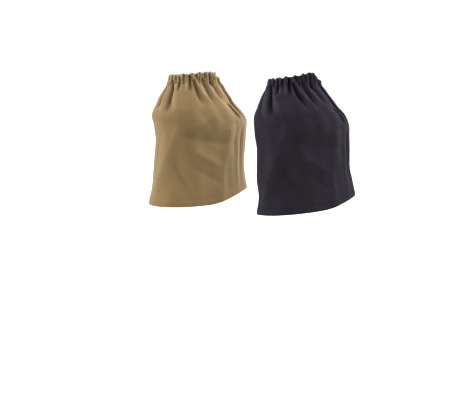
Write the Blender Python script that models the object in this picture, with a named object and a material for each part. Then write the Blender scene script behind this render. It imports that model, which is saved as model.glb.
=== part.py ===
"""A pair of elasticated boot covers, one khaki and one navy, in the shape that they hold when worn.

Each cover is a tube of cotton drill, open at the top and at the hem. An elastic gathers the top edge
into a casing of small ruffles, the cloth fans out from it over a round shoulder, and the sides fall to
a turned-up hem. Each cover has three solids: the body, the casing and the hem.

Lengths are in metres. The origin is the middle of the khaki cover's elastic ring, the toes point
towards -Y, the wearer's left is +X, and +Z is up. A "share" is how far round a cover a point lies, from
0 at the toe end by way of +X to 1. A "drop" is how far down the cloth it lies, from the casing's foot.
"""

import math
from collections import namedtuple

import bmesh
import bpy
import numpy as np

# Cloth
WALL = 0.0015
CASING_WALL = 0.0032
HEM_WALL = 0.0026
SEAM_GAP = 0.0003

# Drops of the edges, and of the elastic's middle, which lies at Z = 0
CASING_TOP = -0.0098
CASING_FOOT = 0.0
CROWN_RISE = 0.0018
RING_DROP = 0.5 * (CASING_TOP - CROWN_RISE + CASING_FOOT)
HEM_TOP = 0.2005
HEM_EDGE = 0.2120

# The ring's heel end lies higher than its toe end by this slope, and its crown leans in and dips there.
# The hem starts its rise to the heel at this share of the cover's length.
RING_SLOPE = 0.0035
HEM_LEVEL_UNTIL = 0.45

# Gathers of the elastic
GATHERS = 40
POINTS_PER_GATHER = 3
GATHER_WAVE = (-1.0, 0.75, 0.65)
GATHER_HEIGHT = 0.0013
GATHER_UNEVEN = 0.35
GATHER_HEIGHT_RHYTHM = 2.4
GATHER_REACH = 0.0230
GATHER_REACH_UNEVEN = 0.0110
GATHER_REACH_RHYTHM = 3.7
CROWN_RUFFLES = 19
CROWN_RUFFLE_HEIGHT = 0.0011
CROWN_RUFFLE_DRIFT = 1.3
CROWN_HUMP_SHARE = 0.285
CROWN_HUMP_WIDTH = 0.060
HEEL_END_SHARE = 0.425
HEEL_END_WIDTH = 0.065
HEEL_END_LEAN = 0.0040
HEEL_END_DIP = 0.0035
COLUMNS = GATHERS * POINTS_PER_GATHER
LOWER_COLUMNS = COLUMNS // 2

# The drop above which a cover's folds are turned with its elastic
TURN_UNTIL = 0.070

# Drops of the body's rings, closer where the folds are, with half the columns below the shoulder
SHOULDER_RINGS = (0.0045, 0.0095, 0.0150, 0.0210, 0.0275, 0.0345, 0.0415)
LOWER_RINGS = (0.0495, 0.0585, 0.0680, 0.0790, 0.0940, 0.1150, 0.1380, 0.1610, 0.1830)

# Steps for measuring round an oval, and for reading the form's directions down and round the cloth
OVAL_STEPS = 720
DROP_STEP = 0.0005
SHARE_STEP = 0.0017

# The cover's form: drop, half length, half width, squareness, and the middle's Y on each cover
FORM = (
    (-0.0130, 0.0428, 0.0298, 2.10, 0.0000, -0.0080),
    (0.0000, 0.0455, 0.0315, 2.10, 0.0000, -0.0080),
    (0.0070, 0.0480, 0.0330, 2.10, 0.0000, -0.0075),
    (0.0140, 0.0535, 0.0360, 2.10, 0.0005, -0.0065),
    (0.0240, 0.0600, 0.0395, 2.10, 0.0000, -0.0045),
    (0.0340, 0.0670, 0.0425, 2.15, 0.0005, -0.0030),
    (0.0460, 0.0745, 0.0455, 2.20, 0.0005, -0.0005),
    (0.0580, 0.0815, 0.0470, 2.25, 0.0050, 0.0065),
    (0.0700, 0.0845, 0.0480, 2.30, 0.0120, 0.0120),
    (0.0820, 0.0865, 0.0480, 2.30, 0.0155, 0.0155),
    (0.1000, 0.0855, 0.0475, 2.30, 0.0150, 0.0180),
    (0.1280, 0.0860, 0.0470, 2.30, 0.0130, 0.0200),
    (0.1560, 0.0860, 0.0470, 2.30, 0.0110, 0.0215),
    (0.1810, 0.0885, 0.0475, 2.30, 0.0105, 0.0275),
    (0.2000, 0.0930, 0.0480, 2.25, 0.0098, 0.0290),
    (0.2200, 0.0975, 0.0485, 2.20, 0.0093, 0.0290),
)

# The largest folds: share and drop at the start, share and drop at the end, half width, depth.
# A negative depth is a ridge.
FOLDS = (
    # the +X side, from the toe end to the heel
    (-0.066, 0.004, -0.040, 0.052, 0.0042, 0.0028),
    (-0.016, 0.002, 0.013, 0.052, 0.0042, 0.0036),
    (0.034, 0.000, 0.077, 0.052, 0.0048, 0.0062),
    (0.084, 0.001, 0.087, 0.024, 0.0034, 0.0030),
    (0.115, 0.002, 0.118, 0.015, 0.0030, 0.0018),
    (0.153, 0.000, 0.161, 0.025, 0.0036, 0.0034),
    (0.172, 0.002, 0.236, 0.048, 0.0046, 0.0038),
    (0.240, 0.002, 0.296, 0.050, 0.0046, 0.0030),
    (0.306, 0.001, 0.312, 0.018, 0.0034, 0.0028),
    (0.312, 0.004, 0.354, 0.050, 0.0050, 0.0026),
    (0.392, 0.002, 0.432, 0.074, 0.0050, 0.0050),
    (0.370, 0.040, 0.388, 0.090, 0.0046, 0.0034),
    # the heel and the -X side
    (0.462, 0.003, 0.455, 0.050, 0.0046, 0.0036),
    (0.523, 0.002, 0.541, 0.062, 0.0050, 0.0044),
    (0.578, 0.002, 0.566, 0.038, 0.0040, 0.0030),
    (0.628, 0.002, 0.598, 0.068, 0.0052, 0.0050),
    (0.686, 0.002, 0.655, 0.050, 0.0048, 0.0036),
    (0.741, 0.001, 0.745, 0.027, 0.0036, 0.0032),
    (0.792, 0.002, 0.764, 0.056, 0.0050, 0.0042),
    (0.846, 0.002, 0.851, 0.032, 0.0038, 0.0028),
    (0.902, 0.002, 0.910, 0.032, 0.0040, 0.0030),
)
# The long ridges and hollows of the sides, in the same columns
HOLLOWS = (
    (0.102, 0.050, -0.046, 0.224, 0.0120, -0.0030),
    (0.372, 0.044, 0.080, 0.104, 0.0100, -0.0024),
    (0.090, 0.088, 0.470, 0.126, 0.0090, 0.0020),
    (0.150, 0.112, 0.330, 0.158, 0.0085, -0.0018),
    (0.321, 0.060, 0.312, 0.190, 0.0110, -0.0020),
    (0.412, 0.080, 0.424, 0.230, 0.0080, -0.0012),
    (0.530, 0.078, 0.548, 0.224, 0.0090, -0.0024),
    (0.592, 0.060, 0.860, 0.108, 0.0100, -0.0022),
    (0.900, 0.092, 0.560, 0.132, 0.0090, 0.0018),
    (0.640, 0.120, 0.800, 0.176, 0.0085, -0.0018),
    (0.905, 0.056, 0.930, 0.230, 0.0110, -0.0026),
)
FOLD_FADE_IN = 0.18
FOLD_FADE_OUT = 0.45
BANK_SHARE = 0.40
BANK_OFFSET = 2.1

DRILL_ROUGHNESS = 0.85
SHARP_EDGE = math.radians(50)

# Each cover's place, and how its ring and its hem lie. A tilt is how far the +X side is above the -X
# side. The crown's hump, the lifts and the rises raise the edge that they name. The ring's turn is the
# share by which its folds start nearer to the toe end.
Cover = namedtuple(
    "Cover",
    "name middle_column x y length_factor ring_lift ring_tilt ring_turn crown_hump "
    "hem_lift hem_tilt toe_rise heel_rise colour",
)
COVERS = (
    Cover(
        "khaki", 0, 0.0, 0.0, 1.00, 0.0, 0.0050, 0.0, 0.0004,
        -0.0009, 0.0060, 0.0055, 0.0169, (0.300, 0.220, 0.115),
    ),
    Cover(
        "navy", 1, 0.1404, 0.1152, 1.03, -0.0022, 0.0085, 0.026, 0.0030,
        0.0020, 0.0140, 0.0025, 0.0137, (0.022, 0.023, 0.040),
    ),
)


def clear_scene():
    """Remove every object from the scene."""
    for item in list(bpy.data.objects):
        bpy.data.objects.remove(item, do_unlink=True)


def read_table(rows, key):
    """Read a table smoothly at one key, its first column, and return the other columns."""
    rows = np.array(rows)
    keys = rows[:, 0]
    key = min(max(key, keys[0]), keys[-1])
    low = min(int(np.searchsorted(keys, key, side="right")) - 1, len(keys) - 2)
    here, there = rows[low], rows[low + 1]
    before = rows[low - 1] if low > 0 else here
    after = rows[low + 2] if low + 2 < len(rows) else there
    step = there[0] - here[0]
    slope_here = (there - before) / (there[0] - before[0]) * step
    slope_there = (after - here) / (after[0] - here[0]) * step
    t = (key - here[0]) / step
    blend = (2 * t**3 - 3 * t**2 + 1) * here + (t**3 - 2 * t**2 + t) * slope_here
    blend += (3 * t**2 - 2 * t**3) * there + (t**3 - t**2) * slope_there
    return blend[1:]


def smooth_step(value):
    """Ease from 0 to 1 as the value goes from 0 to 1."""
    value = np.clip(value, 0.0, 1.0)
    return value * value * (3.0 - 2.0 * value)


def oval(half_length, half_width, squareness, shares):
    """Return X, Y at each share of the way round an oval, and the oval's girth."""
    turn = np.linspace(-0.5 * math.pi, 1.5 * math.pi, OVAL_STEPS + 1)
    power = 2.0 / squareness
    x = half_width * np.sign(np.cos(turn)) * np.abs(np.cos(turn)) ** power
    y = half_length * np.sign(np.sin(turn)) * np.abs(np.sin(turn)) ** power
    reach = np.concatenate([[0.0], np.cumsum(np.hypot(np.diff(x), np.diff(y)))])
    wanted = (shares % 1.0) * reach[-1]
    return np.interp(wanted, reach, x), np.interp(wanted, reach, y), reach[-1]


def form_points(cover, shares, drop):
    """Return the smooth form's points at one drop, and the girth there."""
    half_length, half_width, squareness, *middles = read_table(FORM, drop)
    half_length *= cover.length_factor
    x, y, girth = oval(half_length, half_width, squareness, shares)
    along = 0.5 + 0.5 * y / half_length
    aside = 0.5 * x / half_width
    down = (drop - CASING_TOP) / (HEM_EDGE - CASING_TOP)
    rising = smooth_step((along - HEM_LEVEL_UNTIL) / (1.0 - HEM_LEVEL_UNTIL))
    hem_level = cover.hem_lift + cover.toe_rise * (1.0 - along) ** 3 + cover.heel_rise * rising
    hem_level -= cover.hem_tilt * (0.5 - aside)
    ring_level = cover.ring_lift + RING_SLOPE * (along - 0.5) + cover.ring_tilt * aside
    z = RING_DROP - drop + (1.0 - down) * ring_level + down * hem_level
    return np.stack([x + cover.x, y + middles[cover.middle_column] + cover.y, z], axis=1), girth


def form_normals(cover, shares, drop):
    """Return the smooth form's outward directions at one drop."""
    below, above = (form_points(cover, shares, drop + step)[0] for step in (DROP_STEP, -DROP_STEP))
    after, before = (form_points(cover, shares + step, drop)[0] for step in (SHARE_STEP, -SHARE_STEP))
    out = np.cross(below - above, after - before)
    return out / np.linalg.norm(out, axis=1, keepdims=True)


def gather_relief(shares, drop):
    """Return the height of the elastic's gathers, which fade out below the casing."""
    gather = np.floor(shares * GATHERS + 0.5 / POINTS_PER_GATHER)
    point = np.round(shares * COLUMNS).astype(int) % POINTS_PER_GATHER
    height = GATHER_HEIGHT * (1.0 - GATHER_UNEVEN * (0.5 + 0.5 * np.sin(GATHER_HEIGHT_RHYTHM * gather)))
    reach = GATHER_REACH + GATHER_REACH_UNEVEN * np.sin(GATHER_REACH_RHYTHM * gather + 1.0)
    fade = 1.0 - smooth_step((drop - CASING_FOOT) / reach)
    return np.array(GATHER_WAVE)[point] * height * fade


def fold_relief(shares, drop, girth, rows):
    """Return the height of the cloth's folds: a soft trough each, with a bank at both sides."""
    relief = np.zeros(len(shares))
    for share_0, drop_0, share_1, drop_1, width, depth in rows:
        run, fall = (share_1 - share_0) * girth, drop_1 - drop_0
        length = math.hypot(run, fall)
        round_it = ((shares - share_0 + 0.5) % 1.0 - 0.5) * girth
        down_it = drop - drop_0
        along = (round_it * run + down_it * fall) / length**2
        across = np.abs(round_it * fall - down_it * run) / (length * width)
        strength = smooth_step(along / FOLD_FADE_IN) * smooth_step((1.0 - along) / FOLD_FADE_OUT)
        trough = np.exp(-(across**2))
        bank = np.exp(-((across - BANK_OFFSET) ** 2))
        relief += depth * strength * (BANK_SHARE * bank - trough)
    return relief


def crown_part(drop):
    """Return how far up the casing a drop lies, from 0 at its foot to 1 at its top."""
    return float(smooth_step((drop - CASING_FOOT) / (CASING_TOP - CASING_FOOT)))


def heel_end(shares):
    """Return how near each share is to the ring's end at the heel, from 0 to 1."""
    return np.exp(-(((shares - HEEL_END_SHARE) / HEEL_END_WIDTH) ** 2))


def cloth_ring(cover, columns, drop, inset):
    """Return one ring of points on the cloth, inset from its outer face."""
    shares = np.arange(columns) / columns
    points, girth = form_points(cover, shares, drop)
    turned = shares + cover.ring_turn * (1.0 - float(smooth_step(drop / TURN_UNTIL)))
    relief = gather_relief(shares, drop) + fold_relief(turned, drop, girth, FOLDS)
    relief += fold_relief(shares, drop, girth, HOLLOWS)
    relief -= HEEL_END_LEAN * crown_part(drop) * heel_end(shares)
    points = points + form_normals(cover, shares, drop) * (relief - inset)[:, None]
    points[:, 2] -= HEEL_END_DIP * crown_part(drop) * heel_end(shares)
    return points


def crown_ring(cover):
    """Return the ruffled top edge of the casing, where the cloth turns over."""
    shares = np.arange(COLUMNS) / COLUMNS
    points = cloth_ring(cover, COLUMNS, CASING_TOP - CROWN_RISE, 0.5 * CASING_WALL)
    turn = 2.0 * math.pi * shares
    ruffles = np.sin(CROWN_RUFFLES * turn + CROWN_RUFFLE_DRIFT * np.sin(3.0 * turn))
    hump = np.exp(-(((shares - CROWN_HUMP_SHARE) / CROWN_HUMP_WIDTH) ** 2))
    points[:, 2] += CROWN_RUFFLE_HEIGHT * ruffles + cover.crown_hump * hump
    return points


def add_loop(mesh, points):
    """Add a closed loop of edges through the points and return its edges."""
    circle = bmesh.ops.create_circle(mesh, segments=len(points), radius=1.0)
    for vertex, point in zip(circle["verts"], points):
        vertex.co = point
    return list({edge for vertex in circle["verts"] for edge in vertex.link_edges})


def drill(name, colour):
    """Make the plain woven cloth's material."""
    material = bpy.data.materials.new(name)
    material.use_nodes = True
    shader = material.node_tree.nodes["Principled BSDF"]
    shader.inputs["Base Color"].default_value = (*colour, 1.0)
    shader.inputs["Roughness"].default_value = DRILL_ROUGHNESS
    shader.inputs["Metallic"].default_value = 0.0
    return material


def add_tube(name, rings, material):
    """Join rings of points, down the outside and up the inside, into one closed wall."""
    mesh = bmesh.new()
    loops = [add_loop(mesh, points) for points in rings]
    for loop, next_loop in zip(loops, loops[1:] + loops[:1]):
        bmesh.ops.bridge_loops(mesh, edges=loop + next_loop)
    bmesh.ops.recalc_face_normals(mesh, faces=mesh.faces)
    data = bpy.data.meshes.new(name)
    mesh.to_mesh(data)
    mesh.free()
    data.shade_smooth()
    data.set_sharp_from_angle(angle=SHARP_EDGE)
    data.materials.append(material)
    item = bpy.data.objects.new(name, data)
    bpy.context.scene.collection.objects.link(item)
    return item


def casing_rings(cover):
    """Rings of the casing: a doubled wall round the elastic, with a round, ruffled top."""
    foot = CASING_FOOT - 0.5 * SEAM_GAP
    drops = (CASING_TOP, 0.5 * (CASING_TOP + foot), foot)
    outside = [cloth_ring(cover, COLUMNS, drop, 0.0) for drop in drops]
    inside = [cloth_ring(cover, COLUMNS, drop, CASING_WALL) for drop in reversed(drops)]
    return [crown_ring(cover)] + outside + inside


def body_rings(cover):
    """Rings of the body: a single wall, with fewer columns below the shoulder."""
    shoulder = (CASING_FOOT + 0.5 * SEAM_GAP,) + SHOULDER_RINGS
    lower = LOWER_RINGS + (HEM_TOP - 0.5 * SEAM_GAP,)
    rows = [(COLUMNS, drop) for drop in shoulder] + [(LOWER_COLUMNS, drop) for drop in lower]
    outside = [cloth_ring(cover, columns, drop, 0.0) for columns, drop in rows]
    inside = [cloth_ring(cover, columns, drop, WALL) for columns, drop in reversed(rows)]
    return outside + inside


def hem_rings(cover):
    """Rings of the hem: the cloth's edge turned up inside."""
    drops = (HEM_TOP + 0.5 * SEAM_GAP, HEM_EDGE)
    outside = [cloth_ring(cover, LOWER_COLUMNS, drop, 0.0) for drop in drops]
    inside = [cloth_ring(cover, LOWER_COLUMNS, drop, HEM_WALL) for drop in reversed(drops)]
    return outside + inside


clear_scene()
for cover_to_make in COVERS:
    cloth = drill(cover_to_make.name + "_drill", cover_to_make.colour)
    add_tube(cover_to_make.name + "_casing", casing_rings(cover_to_make), cloth)
    add_tube(cover_to_make.name + "_body", body_rings(cover_to_make), cloth)
    add_tube(cover_to_make.name + "_hem", hem_rings(cover_to_make), cloth)
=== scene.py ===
# %% [markdown]
# A pair of elasticated boot covers, one khaki and one navy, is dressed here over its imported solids.
# Each cover is a tube of plain cotton drill. An elastic gathers the top into a casing of small ruffles,
# the cloth fans out below it in a few long folds, and the sides fall to a turned-up, stitched hem.

# %% Load the frame
import math

import bmesh
import bpy
import numpy as np
from mathutils import Matrix, Vector


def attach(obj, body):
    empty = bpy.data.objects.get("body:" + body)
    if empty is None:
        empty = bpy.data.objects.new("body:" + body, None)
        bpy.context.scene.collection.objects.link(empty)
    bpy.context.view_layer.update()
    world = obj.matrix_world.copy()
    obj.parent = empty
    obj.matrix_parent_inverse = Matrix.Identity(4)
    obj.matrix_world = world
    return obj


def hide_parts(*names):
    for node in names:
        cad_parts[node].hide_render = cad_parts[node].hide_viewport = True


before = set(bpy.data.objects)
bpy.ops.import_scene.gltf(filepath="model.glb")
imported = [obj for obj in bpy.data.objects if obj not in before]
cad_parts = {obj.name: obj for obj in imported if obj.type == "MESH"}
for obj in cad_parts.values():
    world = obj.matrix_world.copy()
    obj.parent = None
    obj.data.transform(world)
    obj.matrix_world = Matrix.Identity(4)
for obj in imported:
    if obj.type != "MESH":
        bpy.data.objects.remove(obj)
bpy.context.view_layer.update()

# %% [markdown]
# The camera comes first, because the folds are placed by what it sees. The photograph looks at the
# covers from between the toe end and the +X side, from a little above the elastic, with a lens of about
# 50 mm a good metre away. The toe end points to -Y, so the camera stands 58 degrees round from it.

# %% Set the camera
AZIMUTH = math.radians(58.0)
PITCH = math.radians(14.3)
LEVEL = math.radians(90.0)
CAMERA_DISTANCE = 1.100
CAMERA_SIDE = 0.0447
CAMERA_HEIGHT = 0.06085
RING_MIDDLE_Y = 0.0110
LENS = 50.16
NEAREST_SEEN = 0.01

towards_camera = np.array([math.sin(AZIMUTH), -math.cos(AZIMUTH), 0.0])
picture_right = np.array([math.cos(AZIMUTH), math.sin(AZIMUTH), 0.0])
camera_place = np.array([0.0, RING_MIDDLE_Y, CAMERA_HEIGHT])
camera_place += towards_camera * CAMERA_DISTANCE + picture_right * CAMERA_SIDE

camera = bpy.data.objects.new("camera", bpy.data.cameras.new("camera"))
bpy.context.scene.collection.objects.link(camera)
camera.location = camera_place
camera.rotation_euler = (LEVEL - PITCH, 0.0, AZIMUTH)
camera.data.lens = LENS
camera.data.clip_start = NEAREST_SEEN
bpy.context.scene.camera = camera
print("camera at", camera_place.round(3))

# %% [markdown]
# The photograph's ground is plain white and its light is soft. The world is white where the camera sees
# it and dimmer as a light, as the white of a cut-out picture is. A Light Path node asks whether the ray
# comes from the camera, and mixes the two backgrounds by its answer.

# %% Whiten the world
WHITE = (1.0, 1.0, 1.0, 1.0)
SEEN_WHITE = 1.02
WORLD_LIGHT = 0.50

bpy.context.scene.view_settings.view_transform = "Standard"
world = bpy.data.worlds.new("white_studio")
bpy.context.scene.world = world
world.use_nodes = True
world_nodes = world.node_tree.nodes
world_links = world.node_tree.links
dim_white = world_nodes["Background"]
dim_white.inputs["Color"].default_value = WHITE
dim_white.inputs["Strength"].default_value = WORLD_LIGHT
seen_white = world_nodes.new("ShaderNodeBackground")
seen_white.inputs["Color"].default_value = WHITE
seen_white.inputs["Strength"].default_value = SEEN_WHITE
light_path = world_nodes.new("ShaderNodeLightPath")
choice = world_nodes.new("ShaderNodeMixShader")
world_links.new(light_path.outputs["Is Camera Ray"], choice.inputs[0])
world_links.new(dim_white.outputs[0], choice.inputs[1])
world_links.new(seen_white.outputs[0], choice.inputs[2])
world_links.new(choice.outputs[0], world_nodes["World Output"].inputs["Surface"])
print("the world lights at", WORLD_LIGHT, "and is seen at", SEEN_WHITE)

# %% [markdown]
# The floor is a plain pale plane, well below the hems. It glows for the camera alone, again by the Light
# Path node, so that it meets the white world without an edge and still throws only a soft light upwards.

# %% Lay the floor
FLOOR_Z = -0.370
FLOOR_SIZE = 12.0
FLOOR_COLOUR = (0.58, 0.58, 0.58, 1.0)
FLOOR_ROUGHNESS = 0.9
FLOOR_GLOW = 0.90

floor_mesh = bmesh.new()
bmesh.ops.create_grid(floor_mesh, x_segments=1, y_segments=1, size=FLOOR_SIZE / 2)
bmesh.ops.translate(floor_mesh, verts=floor_mesh.verts, vec=(0.0, 0.0, FLOOR_Z))
floor = bpy.data.objects.new("floor", bpy.data.meshes.new("floor"))
floor_mesh.to_mesh(floor.data)
floor_mesh.free()
bpy.context.scene.collection.objects.link(floor)
floor_finish = bpy.data.materials.new("pale_floor")
floor_finish.use_nodes = True
floor_shader = floor_finish.node_tree.nodes["Principled BSDF"]
floor_shader.inputs["Base Color"].default_value = FLOOR_COLOUR
floor_shader.inputs["Roughness"].default_value = FLOOR_ROUGHNESS
floor_path = floor_finish.node_tree.nodes.new("ShaderNodeLightPath")
seen_by_camera = floor_path.outputs["Is Camera Ray"]
floor_finish.node_tree.links.new(seen_by_camera, floor_shader.inputs["Emission Color"])
floor_shader.inputs["Emission Strength"].default_value = FLOOR_GLOW
floor.data.materials.append(floor_finish)
print("floor at", FLOOR_Z)

# %% [markdown]
# A tall soft box stands at the left, level with the pair, and a larger, stronger one at the right,
# behind it. They light the cloth's edges and leave its middle darker, as the photograph shows. A third
# hangs overhead for the shoulders.

# %% Hang the lights
# Each soft box: its name, its place to the picture's right, towards the camera and up, its face's width
# and height, and its watts
SOFT_BOXES = (
    ("left_box", -1.25, 0.08, 0.05, 0.60, 1.10, 21.0),
    ("right_box", 1.80, -0.88, 0.20, 0.80, 1.50, 64.0),
    ("top_box", 0.30, 0.30, 1.35, 0.90, 0.90, 29.0),
)
PAIR_MIDDLE = np.array([0.07, 0.06, -0.09])


def hang_soft_box(name, right, forward, height, width, tall, watts):
    """Hang a rectangular light that faces the middle of the pair."""
    light = bpy.data.lights.new(name, "AREA")
    light.shape = "RECTANGLE"
    light.size = width
    light.size_y = tall
    light.energy = watts
    item = bpy.data.objects.new(name, light)
    place = PAIR_MIDDLE + picture_right * right + towards_camera * forward
    place = place + np.array([0.0, 0.0, height])
    item.location = place
    item.rotation_euler = Vector(PAIR_MIDDLE - place).to_track_quat("-Z", "Y").to_euler()
    bpy.context.scene.collection.objects.link(item)


for soft_box in SOFT_BOXES:
    hang_soft_box(*soft_box)
print("hung", len(SOFT_BOXES), "soft boxes")

# %% [markdown]
# The form is the tube that the cloth would make without any fold. It is an oval at each level, from the
# elastic's casing over the shoulder to the hem. A place on the cloth has two numbers: its share of the
# way round, from the toe end by way of the camera's side, and its drop below the casing's foot. These
# are the solids' own sizes, so what is built on this form fits them.

# %% Describe the smooth form
CASING_TOP = -0.0098
CASING_FOOT = 0.0
CROWN_RISE = 0.0018
RING_DROP = 0.5 * (CASING_TOP - CROWN_RISE + CASING_FOOT)
HEM_TOP = 0.2005
HEM_EDGE = 0.2120

# Drop, half length, half width, squareness, and the middle's Y on the khaki and on the navy cover
FORM = np.array([
    (-0.0130, 0.0428, 0.0298, 2.10, 0.0000, -0.0080),
    (0.0000, 0.0455, 0.0315, 2.10, 0.0000, -0.0080),
    (0.0070, 0.0480, 0.0330, 2.10, 0.0000, -0.0075),
    (0.0140, 0.0535, 0.0360, 2.10, 0.0005, -0.0065),
    (0.0240, 0.0600, 0.0395, 2.10, 0.0000, -0.0045),
    (0.0340, 0.0670, 0.0425, 2.15, 0.0005, -0.0030),
    (0.0460, 0.0745, 0.0455, 2.20, 0.0005, -0.0005),
    (0.0580, 0.0815, 0.0470, 2.25, 0.0050, 0.0065),
    (0.0700, 0.0845, 0.0480, 2.30, 0.0120, 0.0120),
    (0.0820, 0.0865, 0.0480, 2.30, 0.0155, 0.0155),
    (0.1000, 0.0855, 0.0475, 2.30, 0.0150, 0.0180),
    (0.1280, 0.0860, 0.0470, 2.30, 0.0130, 0.0200),
    (0.1560, 0.0860, 0.0470, 2.30, 0.0110, 0.0215),
    (0.1810, 0.0885, 0.0475, 2.30, 0.0105, 0.0275),
    (0.2000, 0.0930, 0.0480, 2.25, 0.0098, 0.0290),
    (0.2200, 0.0975, 0.0485, 2.20, 0.0093, 0.0290),
])


def read_form(drop):
    """Read the form's table smoothly at one drop."""
    keys = FORM[:, 0]
    drop = min(max(drop, keys[0]), keys[-1])
    low = min(int(np.searchsorted(keys, drop, side="right")) - 1, len(keys) - 2)
    here, there = FORM[low], FORM[low + 1]
    before = FORM[low - 1] if low > 0 else here
    after = FORM[low + 2] if low + 2 < len(FORM) else there
    step = there[0] - here[0]
    slope_here = (there - before) / (there[0] - before[0]) * step
    slope_there = (after - here) / (after[0] - here[0]) * step
    t = (drop - here[0]) / step
    blend = (2 * t**3 - 3 * t**2 + 1) * here + (t**3 - 2 * t**2 + t) * slope_here
    blend += (3 * t**2 - 2 * t**3) * there + (t**3 - t**2) * slope_there
    return blend[1:]


print("the form has", len(FORM), "ovals")

# %% [markdown]
# The two covers are cut alike and hang a little differently. Each has its own place, a length factor,
# and small rises and tilts of its ring and its hem, which climbs towards the heel. The form's points
# and its outward directions at any drop come from these.

# %% Place each cover on the form
COVERS = {
    "khaki": {
        "middle_column": 3,
        "place_x": 0.0,
        "place_y": 0.0,
        "length_factor": 1.00,
        "ring_lift": 0.0,
        "ring_tilt": 0.0050,
        "crown_hump": 0.0004,
        "hem_lift": -0.0009,
        "hem_tilt": 0.0060,
        "toe_rise": 0.0055,
        "heel_rise": 0.0169,
    },
    "navy": {
        "middle_column": 4,
        "place_x": 0.1404,
        "place_y": 0.1152,
        "length_factor": 1.03,
        "ring_lift": -0.0022,
        "ring_tilt": 0.0085,
        "crown_hump": 0.0030,
        "hem_lift": 0.0020,
        "hem_tilt": 0.0140,
        "toe_rise": 0.0025,
        "heel_rise": 0.0137,
    },
}
RING_SLOPE = 0.0035
TOE_RISE_POWER = 3
HEM_LEVEL_UNTIL = 0.45
OVAL_STEPS = 720
# An outward direction is measured between points this far away, down the cloth and round it
NEARBY = 0.0005
ROUGH_GIRTH = 0.3


def ease(value):
    """Ease from 0 to 1 as the value goes from 0 to 1."""
    value = np.clip(value, 0.0, 1.0)
    return value * value * (3.0 - 2.0 * value)


def form_points(cover, shares, drop):
    """Return the smooth form's points at one drop, and the girth there."""
    sizes = COVERS[cover]
    row = read_form(drop)
    half_length, half_width, squareness = row[0] * sizes["length_factor"], row[1], row[2]
    turn = np.linspace(-0.5 * math.pi, 1.5 * math.pi, OVAL_STEPS + 1)
    x = half_width * np.sign(np.cos(turn)) * np.abs(np.cos(turn)) ** (2.0 / squareness)
    y = half_length * np.sign(np.sin(turn)) * np.abs(np.sin(turn)) ** (2.0 / squareness)
    reach = np.concatenate([[0.0], np.cumsum(np.hypot(np.diff(x), np.diff(y)))])
    wanted = (shares % 1.0) * reach[-1]
    x, y = np.interp(wanted, reach, x), np.interp(wanted, reach, y)
    along = 0.5 + 0.5 * y / half_length
    aside = 0.5 * x / half_width
    down = (drop - CASING_TOP) / (HEM_EDGE - CASING_TOP)
    rising = ease((along - HEM_LEVEL_UNTIL) / (1.0 - HEM_LEVEL_UNTIL))
    hem_level = sizes["hem_lift"] + sizes["toe_rise"] * (1.0 - along) ** TOE_RISE_POWER
    hem_level = hem_level + sizes["heel_rise"] * rising
    hem_level = hem_level - sizes["hem_tilt"] * (0.5 - aside)
    ring_level = sizes["ring_lift"] + RING_SLOPE * (along - 0.5) + sizes["ring_tilt"] * aside
    z = RING_DROP - drop + (1.0 - down) * ring_level + down * hem_level
    middle = row[sizes["middle_column"]]
    points = np.stack([x + sizes["place_x"], y + middle + sizes["place_y"], z], axis=1)
    return points, reach[-1]


def form_girth(cover, drop):
    """Return the smooth form's girth at one drop."""
    return form_points(cover, np.array([0.0]), drop)[1]


def form_normals(cover, shares, drop):
    """Return the smooth form's outward directions at one drop."""
    above = form_points(cover, shares, drop - NEARBY)[0]
    below = form_points(cover, shares, drop + NEARBY)[0]
    step = NEARBY / ROUGH_GIRTH
    before = form_points(cover, shares - step, drop)[0]
    after = form_points(cover, shares + step, drop)[0]
    out = np.cross(below - above, after - before)
    return out / np.linalg.norm(out, axis=1, keepdims=True)


ring_girth = form_girth("khaki", CASING_FOOT)
hem_girth = form_girth("khaki", HEM_EDGE)
print("girth at the ring", round(ring_girth, 4), "and at the hem", round(hem_girth, 4))

# %% [markdown]
# Folds turn that plain form into cloth. Each is one row of a table: where it starts and ends, how wide
# it is on its toe side and on its heel side, how deep it is, and how much cloth banks up beside it. A
# fold of drill has one steep side and one gentle side, so the two widths differ. The short rows are
# creases that start on the casing and die out just below it, and the long ones fan out over the
# shoulder. The rows on the camera's side follow the photograph, and the hidden side has similar ones of
# other lengths and depths. The solids hold the largest of them more coarsely.

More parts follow.
